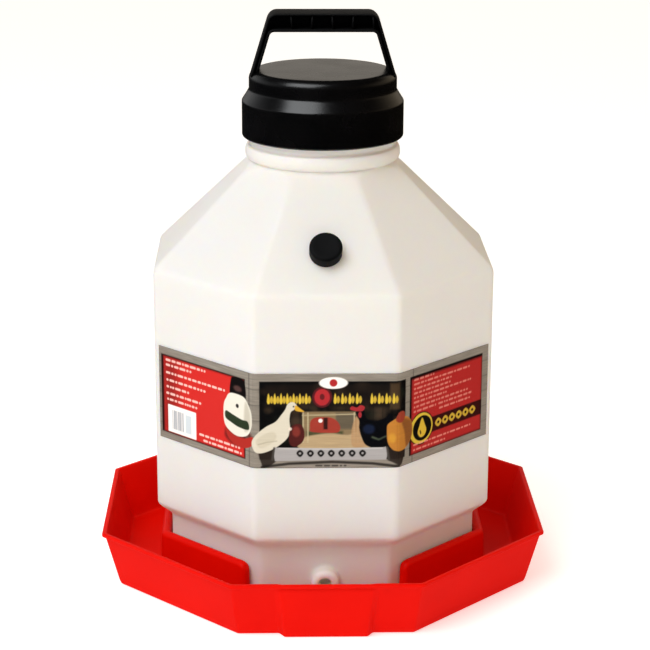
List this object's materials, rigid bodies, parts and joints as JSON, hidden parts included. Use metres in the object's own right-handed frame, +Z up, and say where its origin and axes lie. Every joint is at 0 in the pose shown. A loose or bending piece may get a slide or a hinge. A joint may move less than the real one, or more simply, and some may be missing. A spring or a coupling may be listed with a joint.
{
  "type": "poultry waterer fount",
  "caption": "Eight-sided vacuum waterer for poultry: an upright bottle with a carrying screw cap and a stopper, standing in a shallow drinking tray.",
  "frame": {"origin": "centre of the tray's underside, on the surface that the waterer stands on", "axes": "+Z up along the bottle's axis, the outlet and the stopper face -Y, +X to the right seen from the front"},
  "size_m": [0.3794, 0.3794, 0.4853],
  "materials": {
    "tray_plastic": "moulded polypropylene, satin to semi-gloss, opaque red",
    "bottle_plastic": "blow-moulded high-density polyethylene, milky and slightly translucent",
    "label_film": "printed self-adhesive film, semi-gloss",
    "stopper_rubber": "moulded black rubber, matt",
    "gasket_rubber": "soft rubber, matt",
    "cap_plastic": "moulded polypropylene, black, satin with soft highlights"
  },
  "bodies": {
    "tray": {"tray": "tray_plastic"},
    "bottle": {"bottle": "bottle_plastic", "label": "label_film"},
    "stopper": {"stopper": "stopper_rubber"},
    "gasket": {"cap_gasket": "gasket_rubber"},
    "cap": {"cap": "cap_plastic", "handle": "cap_plastic"}
  },
  "joints": [
    {"name": "bottle_lift", "type": "slide", "parent": "tray", "child": "bottle", "axis": [0, 0, 1], "range_m": [0, 0.06]},
    {"name": "stopper_pull", "type": "slide", "parent": "bottle", "child": "stopper", "axis": [0, -0.714, 0.7001], "range_m": [0, 0.02]},
    {"name": "cap_rise", "type": "slide", "parent": "bottle", "child": "gasket", "axis": [0, 0, 1], "range_m": [0, 0.012]},
    {"name": "cap_turn", "type": "hinge", "parent": "gasket", "child": "cap", "pos_m": [0, 0, 0.4226], "axis": [0, 0, 1], "range_deg": [0, 540]}
  ],
  "couplings": [
    {"joint": "cap_rise", "follows": "cap_turn", "m_per_rad": 0.0012732}
  ]
}
